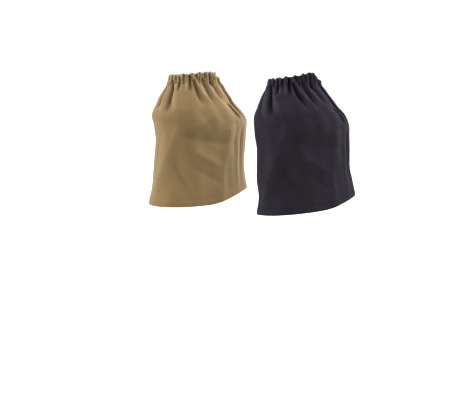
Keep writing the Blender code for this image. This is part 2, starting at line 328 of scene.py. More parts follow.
# %% List the folds
# Share and drop at the start, share and drop at the end, toe side's width, heel side's width, depth,
# bank on the toe side, bank on the heel side
FOLDS = (
    # the toe end
    (-0.098, -0.003, -0.090, 0.030, 0.0022, 0.0036, 0.0036, 0.3, 0.5),
    (-0.066, -0.002, -0.040, 0.050, 0.0026, 0.0044, 0.0036, 0.4, 0.5),
    (-0.040, -0.003, -0.030, 0.022, 0.0020, 0.0024, 0.0026, 0.3, 0.4),
    (-0.016, -0.003, 0.013, 0.050, 0.0026, 0.0040, 0.0052, 0.4, 0.4),
    (0.010, 0.000, 0.028, 0.030, 0.0022, 0.0026, 0.0024, 0.4, 0.3),
    # the camera's side, from the toe end to the heel
    (0.020, -0.006, 0.074, 0.058, 0.0034, 0.0036, 0.0104, 0.35, 0.00),
    (0.044, 0.004, 0.098, 0.066, 0.0048, 0.0044, 0.0040, 0.00, 0.30),
    (0.058, -0.010, 0.064, 0.013, 0.0020, 0.0022, 0.0024, 0.3, 0.3),
    (0.084, -0.011, 0.087, 0.021, 0.0020, 0.0022, 0.0058, 0.4, 0.3),
    (0.112, -0.012, 0.116, 0.012, 0.0018, 0.0020, 0.0034, 0.4, 0.4),
    (0.131, -0.012, 0.136, 0.010, 0.0016, 0.0020, 0.0022, 0.3, 0.3),
    (0.152, -0.012, 0.161, 0.023, 0.0024, 0.0030, 0.0068, 0.4, 0.3),
    (0.172, -0.004, 0.234, 0.043, 0.0019, 0.0040, 0.0056, 0.10, 0.6),
    (0.203, -0.012, 0.214, 0.012, 0.0018, 0.0022, 0.0028, 0.3, 0.3),
    (0.240, -0.005, 0.294, 0.046, 0.0020, 0.0044, 0.0036, 0.15, 0.55),
    (0.270, -0.012, 0.279, 0.012, 0.0018, 0.0020, 0.0024, 0.3, 0.3),
    (0.303, -0.012, 0.312, 0.016, 0.0028, 0.0028, 0.0074, 0.4, 0.4),
    (0.312, 0.002, 0.352, 0.046, 0.0022, 0.0056, 0.0030, 0.1, 0.5),
    (0.342, -0.011, 0.352, 0.016, 0.0020, 0.0024, 0.0030, 0.3, 0.4),
    (0.394, -0.004, 0.422, 0.090, 0.0022, 0.0030, 0.0080, 0.0, 0.28),
    (0.374, 0.042, 0.384, 0.080, 0.0015, 0.0024, 0.0030, 0.3, 0.5),
    (0.428, -0.004, 0.440, 0.030, 0.0022, 0.0030, 0.0030, 0.4, 0.4),
    # the heel and the hidden side
    (0.462, -0.004, 0.455, 0.050, 0.0036, 0.0026, 0.0044, 0.5, 0.3),
    (0.523, -0.005, 0.541, 0.060, 0.0028, 0.0046, 0.0058, 0.3, 0.5),
    (0.551, -0.012, 0.556, 0.018, 0.0020, 0.0022, 0.0026, 0.4, 0.4),
    (0.578, -0.006, 0.566, 0.038, 0.0038, 0.0022, 0.0038, 0.5, 0.2),
    (0.628, -0.006, 0.598, 0.066, 0.0044, 0.0026, 0.0070, 0.6, 0.2),
    (0.655, -0.012, 0.648, 0.020, 0.0022, 0.0020, 0.0030, 0.4, 0.4),
    (0.686, -0.006, 0.655, 0.048, 0.0042, 0.0022, 0.0048, 0.5, 0.2),
    (0.714, -0.012, 0.716, 0.014, 0.0020, 0.0020, 0.0028, 0.4, 0.4),
    (0.741, -0.012, 0.745, 0.026, 0.0024, 0.0028, 0.0056, 0.4, 0.4),
    (0.792, -0.006, 0.764, 0.054, 0.0044, 0.0024, 0.0056, 0.6, 0.2),
    (0.818, -0.012, 0.824, 0.018, 0.0020, 0.0022, 0.0026, 0.4, 0.4),
    (0.846, -0.012, 0.851, 0.030, 0.0024, 0.0028, 0.0040, 0.4, 0.4),
    (0.872, -0.012, 0.874, 0.014, 0.0018, 0.0022, 0.0026, 0.3, 0.3),
)
print(len(FOLDS), "folds on each cover")

# %% [markdown]
# Below the folds, the sides have long, soft ridges and hollows, in the same columns. A ridge is a hollow
# of negative depth. The camera's flank has a slack band below the shoulder, a pale patch and a hollow
# under it, between the rounded edge at the toe end and the streaks at the heel.

# %% List the ridges and hollows
HOLLOWS = (
    # the toe end's rounded edge, which crosses to the front of the hem
    (0.114, 0.050, -0.078, 0.276, 0.0200, 0.0120, -0.0038, 0.0, 0.1),
    (0.030, 0.076, -0.020, 0.170, 0.0060, 0.0060, 0.0010, 0.2, 0.2),
    # the camera's flank
    (0.372, 0.040, 0.080, 0.090, 0.0090, 0.0170, -0.0032, 0.0, 0.0),
    (0.090, 0.088, 0.470, 0.126, 0.0090, 0.0080, 0.0020, 0.0, 0.0),
    (0.150, 0.112, 0.330, 0.158, 0.0080, 0.0070, -0.0020, 0.0, 0.2),
    (0.160, 0.142, 0.340, 0.190, 0.0080, 0.0070, 0.0014, 0.0, 0.0),
    (0.080, 0.132, 0.156, 0.200, 0.0070, 0.0060, 0.0014, 0.2, 0.2),
    (0.206, 0.046, 0.236, 0.086, 0.0070, 0.0090, 0.0006, 0.2, 0.2),
    # the heel's rounded edge and the streaks behind it
    (0.321, 0.076, 0.318, 0.164, 0.0100, 0.0120, -0.0020, 0.1, 0.0),
    (0.306, 0.118, 0.292, 0.240, 0.0070, 0.0110, -0.0016, 0.1, 0.0),
    (0.352, 0.070, 0.346, 0.150, 0.0034, 0.0050, 0.0009, 0.2, 0.3),
    (0.371, 0.104, 0.378, 0.218, 0.0040, 0.0046, -0.0012, 0.3, 0.3),
    (0.391, 0.086, 0.392, 0.172, 0.0030, 0.0040, 0.0010, 0.3, 0.3),
    (0.412, 0.080, 0.424, 0.230, 0.0056, 0.0060, -0.0012, 0.3, 0.2),
    (0.440, 0.094, 0.436, 0.210, 0.0050, 0.0050, 0.0012, 0.2, 0.2),
    # the heel and the hidden side
    (0.530, 0.078, 0.548, 0.224, 0.0110, 0.0060, -0.0026, 0.0, 0.2),
    (0.575, 0.110, 0.582, 0.206, 0.0040, 0.0040, 0.0011, 0.3, 0.3),
    (0.592, 0.060, 0.860, 0.108, 0.0090, 0.0100, -0.0022, 0.0, 0.0),
    (0.900, 0.092, 0.560, 0.132, 0.0090, 0.0080, 0.0018, 0.0, 0.0),
    (0.640, 0.120, 0.800, 0.176, 0.0080, 0.0070, -0.0018, 0.2, 0.2),
    (0.850, 0.140, 0.700, 0.200, 0.0080, 0.0070, 0.0014, 0.0, 0.0),
    (0.905, 0.056, 0.930, 0.230, 0.0070, 0.0150, -0.0028, 0.2, 0.0),
    (0.958, 0.080, 0.965, 0.190, 0.0050, 0.0060, 0.0010, 0.2, 0.2),
)
print(len(HOLLOWS), "soft ridges and hollows on each cover")

# %% [markdown]
# A fold's height is worked out at any place from how far along it and how far across it the place lies.
# Across, it is a soft trough with a bank on each side. Along, it fades in quickly and out slowly, and
# folds that fan out from the elastic get wider towards their end, by the spread. The ridges and hollows
# of the sides keep their width.

# %% Press the folds
FADE_IN = 0.14
FADE_OUT = 0.50
FOLD_SPREAD = 0.90
HOLLOW_SPREAD = 0.0
BANK_OFFSET = 1.9
VALLEY_POWER = 1.35


def fold_relief(shares, drop, girth, rows, spread):
    """Return the height of folds: a soft trough each, with banks, wider at its end by the spread."""
    relief = np.zeros(len(shares))
    for share_0, drop_0, share_1, drop_1, toe_width, heel_width, depth, toe_bank, heel_bank in rows:
        run, fall = (share_1 - share_0) * girth, drop_1 - drop_0
        length = math.hypot(run, fall)
        round_it = ((shares - share_0 + 0.5) % 1.0 - 0.5) * girth
        down_it = drop - drop_0
        along = (round_it * run + down_it * fall) / length**2
        across = (round_it * fall - down_it * run) / length
        widening = 1.0 + spread * (np.clip(along, 0.0, 1.0) - 0.5)
        across = across / (np.where(across < 0.0, toe_width, heel_width) * widening)
        strength = ease(along / FADE_IN) * ease((1.0 - along) / FADE_OUT)
        trough = np.exp(-(np.abs(across) ** VALLEY_POWER))
        toe_side = toe_bank * np.exp(-((across + BANK_OFFSET) ** 2))
        heel_side = heel_bank * np.exp(-((across - BANK_OFFSET) ** 2))
        relief += depth * strength * (toe_side + heel_side - trough)
    return relief


TRIAL_DROP = 0.020
all_round = np.linspace(0.0, 1.0, 400, endpoint=False)
folds_there = fold_relief(all_round, TRIAL_DROP, form_girth("khaki", TRIAL_DROP), FOLDS, FOLD_SPREAD)
print(TRIAL_DROP * 1000, "mm down, the folds reach", (folds_there.min() * -1000).round(2), "mm deep")

# %% [markdown]
# The elastic draws about 470 mm of cloth into a ring of about 240 mm, so the casing is all small
# ruffles. A ruffle is a round puff between two sharp creases, which a sine raised to about a half gives.
# They are uneven in height and spacing, lean a little, and fade out at uneven distances below the
# casing. Each rhythm below is a number of waves and where they start.

# %% Shape the ruffles
GATHERS = 40
GATHER_HEIGHT = 0.0050
HEIGHT_MIDDLE = 0.70
HEIGHT_UNEVEN = 0.34
HEIGHT_RHYTHM, HEIGHT_START = 2.4, 0.5
PUFF_POWER = 0.58
PUFF_MIDDLE = 0.74
SPACING_UNEVEN = 0.30
SPACING_RHYTHMS = ((5.0, 0.7), (11.0, 2.0))
GATHER_LEAN = 26.0
LEAN_START = 0.4
GATHER_REACH = 0.0140
REACH_UNEVEN = 0.0080
REACH_RHYTHM, REACH_START = 3.7, 1.0


def gather_relief(shares, drop):
    """Return the height of the elastic's ruffles."""
    turn = 2.0 * math.pi * shares
    lean = GATHER_LEAN * drop * np.sin(turn + LEAN_START)
    crowding = sum(np.sin(waves * turn + start) for waves, start in SPACING_RHYTHMS)
    place = GATHERS * shares + lean + SPACING_UNEVEN * crowding
    gather = np.floor(place)
    uneven = HEIGHT_MIDDLE + HEIGHT_UNEVEN * np.sin(HEIGHT_RHYTHM * gather + HEIGHT_START)
    reach = GATHER_REACH + REACH_UNEVEN * np.sin(REACH_RHYTHM * gather + REACH_START)
    fade = 1.0 - ease((drop - CASING_FOOT) / reach)
    puff = np.abs(np.sin(math.pi * place)) ** PUFF_POWER
    return GATHER_HEIGHT * uneven * fade * (puff - PUFF_MIDDLE)


print("ruffles reach", (gather_relief(all_round, CASING_FOOT).max() * 1000).round(2), "mm out")

# %% [markdown]
# Cloth is never quite smooth between its folds. Some twenty long, low waves in random directions, from
# one seed, give the slight unevenness of drill that has been worn and washed.

# %% Add the slack
SLACK_SEED = 7
SLACK_WAVES = 22
SLACK_FEWEST_ROUND = 4
SLACK_MOST_ROUND = 17
SLACK_STEEPEST = 70.0
SLACK_HEIGHT = 0.00009
SLACK_FROM = 0.004
SLACK_GROWS_OVER = 0.050

chance = np.random.default_rng(SLACK_SEED)
slack_round = chance.integers(SLACK_FEWEST_ROUND, SLACK_MOST_ROUND, SLACK_WAVES)
slack_down = chance.uniform(-SLACK_STEEPEST, SLACK_STEEPEST, SLACK_WAVES)
slack_phase = chance.uniform(0.0, 2.0 * math.pi, SLACK_WAVES)


def slack_relief(shares, drop):
    """Return the low waves of worn cloth."""
    relief = np.zeros(len(shares))
    for round_it, down, phase in zip(slack_round, slack_down, slack_phase):
        relief += np.sin(2.0 * math.pi * round_it * shares + down * drop + phase)
    return SLACK_HEIGHT * relief * float(ease((drop - SLACK_FROM) / SLACK_GROWS_OVER))


print("slack of", SLACK_WAVES, "waves")

# %% [markdown]
# The seams add their own relief: a groove along each row of stitches, small puckers beside the hem's
# row, and the lapped seam at the heel, where the cloth lies double.

# %% Sink the seams
CASING_STITCH_DROP = 0.0004
HEM_STITCH_DROP = 0.2002
STITCH_GROOVE = 0.00008
GROOVE_HALF_WIDTH = 0.0011
PUCKER_HEIGHT = 0.00018
PUCKERS_ROUND = 64
PUCKER_DRIFT = 1.5
PUCKER_DRIFT_WAVES = 7
PUCKER_REACH = 0.0050
SEAM_SHARE = 0.470
SEAM_HALF_WIDTH = 0.0048
SEAM_HEIGHT = 0.0007
SEAM_EDGE = 0.0007


def seam_relief(shares, drop, girth):
    """Return the grooves and puckers of the stitched edges, and the lapped seam at the heel."""
    relief = np.zeros(len(shares))
    drift = PUCKER_DRIFT * np.sin(PUCKER_DRIFT_WAVES * 2.0 * math.pi * shares)
    pucker = np.sin(PUCKERS_ROUND * 2.0 * math.pi * shares + drift)
    for stitch_drop in (CASING_STITCH_DROP, HEM_STITCH_DROP):
        away = (drop - stitch_drop) / GROOVE_HALF_WIDTH
        relief -= STITCH_GROOVE * math.exp(-(away**2))
    away = abs(drop - HEM_STITCH_DROP) / PUCKER_REACH
    relief += PUCKER_HEIGHT * pucker * math.exp(-(away**2))
    across = np.abs((shares - SEAM_SHARE + 0.5) % 1.0 - 0.5) * girth
    relief += SEAM_HEIGHT * ease((SEAM_HALF_WIDTH - across) / SEAM_EDGE + 0.5)
    return relief


print("seam at share", SEAM_SHARE, "and", round(2000 * SEAM_HALF_WIDTH, 1), "mm wide")

# %% [markdown]
# All of these add up to the cloth's height over the form. The navy cover's ring is turned a little
# against its hem, so its ruffles and folds don't repeat the khaki one's exactly.

# %% Add up the cloth's relief
RING_TURN = {"khaki": 0.0, "navy": 0.026}
TURN_UNTIL = 0.070


def relief_at(cover, shares, drop, girth):
    """Return the whole height of the cloth over the form."""
    turned = shares + RING_TURN[cover] * (1.0 - float(ease(drop / TURN_UNTIL)))
    relief = gather_relief(turned, drop) + fold_relief(turned, drop, girth, FOLDS, FOLD_SPREAD)
    relief += fold_relief(shares, drop, girth, HOLLOWS, HOLLOW_SPREAD)
    return relief + slack_relief(shares, drop) + seam_relief(shares, drop, girth)


def cloth_ring(cover, shares, drop, inset):
    """Return points of the cloth at one drop, inset from its outer face."""
    points, girth = form_points(cover, shares, drop)
    out = relief_at(cover, shares, drop, girth) - inset
    return points + form_normals(cover, shares, drop) * out[:, None]


for cover in COVERS:
    whole = relief_at(cover, all_round, CASING_FOOT, form_girth(cover, CASING_FOOT))
    print(cover, "relief at the casing's foot", (whole * 1000).min().round(2), (whole * 1000).max().round(2))

# %% [markdown]
# A tube of cloth is drawn ring by ring, as a potter pulls up a wall: a circle, then one extrusion of its
# edge for each ring, down the outside, round the edge and up the inside, with the last ring bridged to
# the first. Each vertex keeps the number of its column through the extrusions, which says where round
# the ring it goes.

# %% Draw a tube from a list of rings
SHARP_EDGE = math.radians(75.0)


def make_tube(name, cover, columns, profile, ring_maker):
    """Extrude a circle of edges along a profile of (drop, inset) pairs into one closed wall."""
    shares = (np.arange(columns) / columns + SEAM_SHARE) % 1.0
    mesh = bmesh.new()
    column_of = mesh.verts.layers.int.new("column")
    ring_of = mesh.verts.layers.int.new("ring")
    vertices = bmesh.ops.create_circle(mesh, segments=columns, radius=1.0)["verts"]
    for number, vertex in enumerate(vertices):
        vertex[column_of] = number
    edges = list(mesh.edges)
    first_edges = edges
    for ring, (drop, inset) in enumerate(profile):
        if ring > 0:
            made = bmesh.ops.extrude_edge_only(mesh, edges=edges)["geom"]
            vertices = [item for item in made if isinstance(item, bmesh.types.BMVert)]
            ends = set(vertices)
            edges = [item for item in made if isinstance(item, bmesh.types.BMEdge)]
            edges = [edge for edge in edges if edge.verts[0] in ends and edge.verts[1] in ends]
        points = ring_maker(cover, shares, drop, inset)
        for vertex in vertices:
            vertex.co = points[vertex[column_of]]
            vertex[ring_of] = ring
    bmesh.ops.bridge_loops(mesh, edges=first_edges + edges)
    bmesh.ops.recalc_face_normals(mesh, faces=mesh.faces)
    data = bpy.data.meshes.new(name)
    mesh.to_mesh(data)
    mesh.free()
    data.shade_smooth()
    data.set_sharp_from_angle(angle=SHARP_EDGE)
    piece = bpy.data.objects.new(name, data)
    bpy.context.scene.collection.objects.link(piece)
    return piece


print("tubes are sharp past", round(math.degrees(SHARP_EDGE)), "degrees")

# %% [markdown]
# The same column and ring numbers give each tube a UV map in metres on the flat cloth, so that the weave
# runs with the cloth. The face that closes the ring has corners in the last column and in the first, and
# the map carries those on past the end. An attribute tells crests from creases: how far each place
# stands over the mean of the cloth beside it, up to a fortieth of the girth away. The drill's colour
# reads it to paint shade into the creases and a paler tone onto the crests, partly wear and partly a
# painted highlight.

# %% Map a tube as cut cloth
CUT_GIRTH = form_girth("khaki", HEM_EDGE)
CREST_SPAN = 0.0020
NEIGHBOUR_PART = 40


def number_layer(piece, name):
    """Return one of the mesh's whole-number layers as an array."""
    values = np.zeros(len(piece.data.vertices), dtype=np.int32)
    piece.data.attributes[name].data.foreach_get("value", values)
    return values


def over_neighbours(relief):
    """Return how far each place round a ring stands over the cloth beside it."""
    reach = len(relief) // NEIGHBOUR_PART
    beside = sum(np.roll(relief, step) for step in range(-reach, reach + 1)) / (2 * reach + 1)
    return relief - beside


def map_cloth(piece, cover, columns, profile):
    """Give the piece a UV map in metres on the cut cloth, and an attribute of its crests and creases."""
    column, ring = number_layer(piece, "column"), number_layer(piece, "ring")
    corner = np.zeros(len(piece.data.loops), dtype=np.int32)
    piece.data.loops.foreach_get("vertex_index", corner)
    starts = np.zeros(len(piece.data.polygons), dtype=np.int32)
    piece.data.polygons.foreach_get("loop_start", starts)
    across = column[corner].astype(float)
    highest = np.maximum.reduceat(across, starts)
    sizes = np.diff(np.append(starts, len(corner)))
    wraps = (np.repeat(highest, sizes) - across) > columns / 2
    across[wraps] += columns
    drops = np.array([drop for drop, inset in profile])
    flat = np.stack([across / columns * CUT_GIRTH, -drops[ring[corner]]], axis=1)
    layer = piece.data.uv_layers.new(name="cut")
    layer.data.foreach_set("uv", flat.astype(np.float32).ravel())
    heights = np.zeros(len(column), dtype=np.float32)
    shares = (np.arange(columns) / columns + SEAM_SHARE) % 1.0
    for number, drop in enumerate(drops):
        here = ring == number
        stands = over_neighbours(relief_at(cover, shares, drop, form_girth("khaki", drop)))
        heights[here] = stands[column[here]] / CREST_SPAN
    # This attribute drives painted shade in the creases and a paler crest tone, partly wear and partly
    # painted highlight.
    attribute = piece.data.attributes.new("crest_wear_and_painted_shade", "FLOAT", "POINT")
    attribute.data.foreach_set("value", np.clip(heights, -1.0, 1.0))
    print(piece.name, len(piece.data.polygons), "faces")


print("the cut cloth is", round(CUT_GIRTH, 4), "round")

# %% [markdown]
# The body is one panel of drill, closed by the heel seam. It has many rings over the shoulder, where the
# folds are, fewer down the sides, and a few close ones above the hem. The inside repeats every other
# ring one cloth's thickness in, so that a look up from the hem or down the ring shows real cloth.

# %% Make the bodies
COLUMNS = 480
CLOTH = 0.0010
SHOULDER_END = 0.096
EDGE_BAND = 0.006
SHOULDER_RINGS = 64
SIDE_RINGS = 30
EDGE_RINGS = 6

shoulder_drops = np.linspace(CASING_FOOT, SHOULDER_END, SHOULDER_RINGS)
side_drops = np.linspace(SHOULDER_END, HEM_TOP - EDGE_BAND, SIDE_RINGS)[1:]
edge_drops = np.linspace(HEM_TOP - EDGE_BAND, HEM_TOP, EDGE_RINGS)[1:]
outside_drops = list(shoulder_drops) + list(side_drops) + list(edge_drops)
inside_drops = outside_drops[::-2] + [CASING_FOOT]
body_profile = [(drop, 0.0) for drop in outside_drops] + [(drop, CLOTH) for drop in inside_drops]

bodies = {}
for cover in COVERS:
    bodies[cover] = make_tube(cover + "_cloth", cover, COLUMNS, body_profile, cloth_ring)
    map_cloth(bodies[cover], cover, COLUMNS, body_profile)

# %% [markdown]
# The casing is the panel's top edge turned over the elastic and stitched down, so it is a soft roll:
# its outside goes on from the body, its top is round, and its inside comes back down. The top edge also
# rises and falls a little where ruffles crowd together, and it leans in and dips at the heel. The
# inside's puffs are lower than the outside's, so the two faces never meet.

# %% Shape a ring of the casing
CASING_THICK = 0.0032
INSIDE_CALM = 0.45
CROWN_RUFFLE = 0.0011
CROWN_WAVES = 19
CROWN_DRIFT = 1.3
CROWN_DRIFT_WAVES = 3.0
FINE_CROWN_WAVES = 31.0
FINE_CROWN_PART = 0.4
CROWN_HUMP_SHARE = 0.285
CROWN_HUMP_WIDTH = 0.060
HEEL_END_SHARE = 0.425
HEEL_END_WIDTH = 0.065
HEEL_END_LEAN = 0.0040
HEEL_END_DIP = 0.0035


def swell(shares, middle, width):
    """Return a soft swell round one share: 1 at its middle and near 0 two widths away."""
    return np.exp(-(((shares - middle) / width) ** 2))


def casing_ring(cover, shares, drop, inset):
    """Return a ring of the casing, whose top edge is wavy and whose inside is calmer."""
    points, girth = form_points(cover, shares, drop)
    calm = 1.0 - INSIDE_CALM * inset / CASING_THICK
    towards_crown = float(ease(drop / CASING_TOP))
    heel_end = swell(shares, HEEL_END_SHARE, HEEL_END_WIDTH) * towards_crown
    relief = relief_at(cover, shares, drop, girth)
    out = np.minimum(relief, 0.0) + np.maximum(relief, 0.0) * calm
    out -= inset + HEEL_END_LEAN * heel_end
    points = points + form_normals(cover, shares, drop) * out[:, None]
    turn = 2.0 * math.pi * shares
    wave = np.sin(CROWN_WAVES * turn + CROWN_DRIFT * np.sin(CROWN_DRIFT_WAVES * turn))
    wave = wave + FINE_CROWN_PART * np.sin(FINE_CROWN_WAVES * turn)
    hump = swell(shares, CROWN_HUMP_SHARE, CROWN_HUMP_WIDTH)
    rise = CROWN_RUFFLE * wave + COVERS[cover]["crown_hump"] * hump
    points[:, 2] += rise * towards_crown - HEEL_END_DIP * heel_end
    return points


print("the casing is", CASING_THICK * 1000, "mm thick")

# %% [markdown]
# Its profile goes up the outside from the casing's foot, round the crown in a half circle, and down the
# inside to the foot again.

# %% Make the casings
CROWN_RINGS = 9
CASING_OUTSIDE_RINGS = 13
CASING_INSIDE_RINGS = 9

crown_radius = 0.5 * CASING_THICK
crown = [
    (CASING_TOP - CROWN_RISE * math.sin(turn), crown_radius * (1.0 - math.cos(turn)))
    for turn in np.linspace(0.0, math.pi, CROWN_RINGS)
]
outside_up = [(drop, 0.0) for drop in np.linspace(CASING_FOOT, CASING_TOP, CASING_OUTSIDE_RINGS)]
inside_drops = np.linspace(CASING_TOP, CASING_FOOT, CASING_INSIDE_RINGS)
inside_down = [(drop, CASING_THICK) for drop in inside_drops]
casing_profile = outside_up[:-1] + crown + inside_down[1:]

casings = {}
for cover in COVERS:
    casings[cover] = make_tube(cover + "_roll", cover, COLUMNS, casing_profile, casing_ring)
    map_cloth(casings[cover], cover, COLUMNS, casing_profile)

# %% [markdown]
# The hem is the bottom edge turned up twice inside and stitched. From outside it is the same cloth with
# a slightly thicker, rounder edge, so its profile swells a little and turns under.

# %% Make the hems
HEM_THICK = 0.0024
HEM_SWELL = 0.0004
SWELL_PACE = 1.2
HEM_RINGS = 11
HEM_TURN_RINGS = 8

edge_radius = 0.5 * HEM_THICK
hem_length = HEM_EDGE - HEM_TOP - edge_radius
hem_steps = np.linspace(0.0, 1.0, HEM_RINGS)
outside_down = [
    (HEM_TOP + hem_length * step, -HEM_SWELL * math.sin(math.pi * min(1.0, SWELL_PACE * step)))
    for step in hem_steps
]
turn_under = [
    (HEM_TOP + hem_length + edge_radius * math.sin(turn), edge_radius * (1.0 - math.cos(turn)))
    for turn in np.linspace(0.0, math.pi, HEM_TURN_RINGS)[1:-1]
]
inside_back = [(HEM_TOP + hem_length * step, HEM_THICK) for step in hem_steps[::-2]]
hem_profile = outside_down + turn_under + inside_back

hems = {}
for cover in COVERS:
    hems[cover] = make_tube(cover + "_turn_up", cover, COLUMNS, hem_profile, cloth_ring)
    map_cloth(hems[cover], cover, COLUMNS, hem_profile)

# %% [markdown]
# The stitches are real thread: a short, straight piece for each, laid in its groove and sunk a little
# into the cloth. A six-sided cone primitive with two equal ends is enough at this size. One mesh holds
# all of a cover's stitches, in four rows: one below the casing, one above the hem and two along the heel
# seam.

# %% Lay rows of stitches
STITCH_LENGTH = 0.0024
STITCH_PITCH = 0.0031
STITCH_SIDES = 6
STITCH_LIFT = 0.5
THREAD_RADIUS = 0.00022
SEAM_ROW_FROM = 0.004
SEAM_ROW_ENDS_ABOVE = 0.003


def lay_stitch(mesh, start, end, out):
    """Lay one stitch between two points of the cloth, lifted along the outward direction."""
    along = Vector(end - start)
    middle = Vector(0.5 * (start + end) + out * THREAD_RADIUS * STITCH_LIFT)
    turn = along.to_track_quat("Z", "Y").to_matrix().to_4x4()
    bmesh.ops.create_cone(
        mesh,
        cap_ends=True,
        cap_tris=False,
        segments=STITCH_SIDES,
        radius1=THREAD_RADIUS,
        radius2=THREAD_RADIUS,
        depth=along.length,
        matrix=Matrix.Translation(middle) @ turn,
    )


def sew_round(mesh, cover, drop):
    """Sew a row of stitches round the cover at one drop."""
    girth = form_girth(cover, drop)
    count = int(girth / STITCH_PITCH)
    shares = np.arange(count) / count
    half = 0.5 * STITCH_LENGTH / girth
    starts = cloth_ring(cover, shares - half, drop, 0.0)
    ends = cloth_ring(cover, shares + half, drop, 0.0)
    out = form_normals(cover, shares, drop)
    for start, end, direction in zip(starts, ends, out):
        lay_stitch(mesh, start, end, direction)
    return count


def sew_down(mesh, cover, offset):
    """Sew a row of stitches down the heel seam, at an offset from its middle line."""
    drops = np.arange(CASING_FOOT + SEAM_ROW_FROM, HEM_EDGE - SEAM_ROW_ENDS_ABOVE, STITCH_PITCH)
    for drop in drops:
        share = np.array([SEAM_SHARE + offset / form_girth(cover, drop)])
        start = cloth_ring(cover, share, drop, 0.0)[0]
        end = cloth_ring(cover, share, drop + STITCH_LENGTH, 0.0)[0]
        lay_stitch(mesh, start, end, form_normals(cover, share, drop)[0])
    return len(drops)


print("stitches of", STITCH_LENGTH * 1000, "mm, one every", STITCH_PITCH * 1000, "mm")

# %% [markdown]
# The heel seam's two rows stand a little unevenly on the lap, one near its edge and one further in, as
# rows do that are run by eye.

# %% Sew both covers
SEAM_ROWS = (-0.75 * SEAM_HALF_WIDTH, 0.55 * SEAM_HALF_WIDTH)

stitches = {}
for cover in COVERS:
    thread_mesh = bmesh.new()
    sewn = sew_round(thread_mesh, cover, CASING_STITCH_DROP)
    sewn += sew_round(thread_mesh, cover, HEM_STITCH_DROP)
    for seam_offset in SEAM_ROWS:
        sewn += sew_down(thread_mesh, cover, seam_offset)
    thread_data = bpy.data.meshes.new(cover + "_stitches")
    thread_mesh.to_mesh(thread_data)
    thread_mesh.free()
    thread_data.shade_smooth()
    stitches[cover] = bpy.data.objects.new(cover + "_stitches", thread_data)
    bpy.context.scene.collection.objects.link(stitches[cover])
    print(cover, "has", sewn, "stitches")

# %% [markdown]
# Shader maths is easier to read as plain sums. This class wraps one socket, so that adding or
# multiplying two of them adds the Math node, and one method makes any other node from its type, its
# settings and its inputs.

# %% Wrap a socket for shader sums
class Shade:
    """One output socket of a material's nodes, or the material itself before its first node."""

    def __init__(self, tree, socket=None):
        self.tree = tree
        self.socket = socket

    def node(self, kind, settings, values, output=0):
        """Add a node of a kind, with its settings set first and then its inputs, and wrap its output."""
        added = self.tree.nodes.new(kind)
        for key, value in settings.items():
            setattr(added, key, value)
        for key, value in values.items():
            if isinstance(value, Shade):
                self.tree.links.new(value.socket, added.inputs[key])
            else:
                added.inputs[key].default_value = value
        return Shade(self.tree, added.outputs[output])

    def sum(self, operation, first, second):
        """Add one Math node."""
        return self.node("ShaderNodeMath", {"operation": operation}, {0: first, 1: second})

    def __add__(self, other):
        return self.sum("ADD", self, other)

    def __radd__(self, other):
        return self.sum("ADD", other, self)

    def __sub__(self, other):
        return self.sum("SUBTRACT", self, other)

    def __rsub__(self, other):
        return self.sum("SUBTRACT", other, self)

    def __mul__(self, other):
        return self.sum("MULTIPLY", self, other)

    def __rmul__(self, other):
        return self.sum("MULTIPLY", other, self)

    def sine(self):
        """Return the sine of this value."""
        return self.node("ShaderNodeMath", {"operation": "SINE"}, {0: self})

    def clamped(self):
        """Return this value held between 0 and 1."""
        return self.node("ShaderNodeClamp", {}, {"Value": self, "Min": 0.0, "Max": 1.0})

    def noise(self, scale, detail):
        """Return soft noise between 0 and 1, read at this place."""
        return self.node("ShaderNodeTexNoise", {}, {"Vector": self, "Scale": scale, "Detail": detail})


def mix_colours(amount, first, second):
    """Return a blend of two colours, each an RGBA tuple or a wrapped socket."""
    settings = {"data_type": "RGBA", "blend_type": "MIX"}
    return amount.node("ShaderNodeMix", settings, {"Factor": amount, 6: first, 7: second}, 2)


print("shader sums are ready")

# %% [markdown]
# Drill is a twill: fine diagonal ribs, with yarns that vary a little in thickness and shade, which a
# weaver calls slubs. Ribs and yarns are read from the UV map in metres, so they run with the cloth round
# every fold. A slub is noise that is stretched along its yarn.

# %% Weave the yarns
RIB_PITCH = 0.0009
YARN_PITCH = 0.0006
RIB_PART = 0.5
YARN_PART = 0.25
SLUB_STRETCHES = ((900.0, 60.0, 1.0), (60.0, 900.0, 1.0))
NOISE_MIDDLE = 0.5


def twill(cut):
    """Return the height of the diagonal ribs and of the yarns both ways."""
    along = cut.node("ShaderNodeSeparateXYZ", {}, {0: cut}, "X")
    down = cut.node("ShaderNodeSeparateXYZ", {}, {0: cut}, "Y")
    rib = ((along + down) * (2.0 * math.pi / RIB_PITCH)).sine()
    weft = (down * (2.0 * math.pi / YARN_PITCH)).sine()
    warp = (along * (2.0 * math.pi / YARN_PITCH)).sine()
    return rib * RIB_PART + weft * YARN_PART + warp * YARN_PART


def slubs(cut):
    """Return the yarns' unevenness both ways, about 0 in the middle."""
    warp_slub, weft_slub = (
        cut.node("ShaderNodeMapping", {}, {"Vector": cut, "Scale": stretch}).noise(1.0, 2.0)
        for stretch in SLUB_STRETCHES
    )
    return warp_slub + weft_slub - 2.0 * NOISE_MIDDLE


print("ribs every", RIB_PITCH * 1000, "mm and yarns every", YARN_PITCH * 1000, "mm")

# %% [markdown]
# The colour is a touch paler on crests, partly from rubbing and partly as a painted highlight, and
# darker in creases, which is painted shade. The dye also drifts slowly over the panel and varies with
# the slubs and the fuzz. These add up to one tone, which goes from the deep shade by way of the middle
# one to the pale one. The weave, the slubs and the fuzz are also a small bump.

# %% Mix the drill
FUZZ_SCALE = 1400.0
DRIFT_SCALE = 16.0
BLOTCH_SCALE = 70.0
MIDDLE_TONE = 0.5
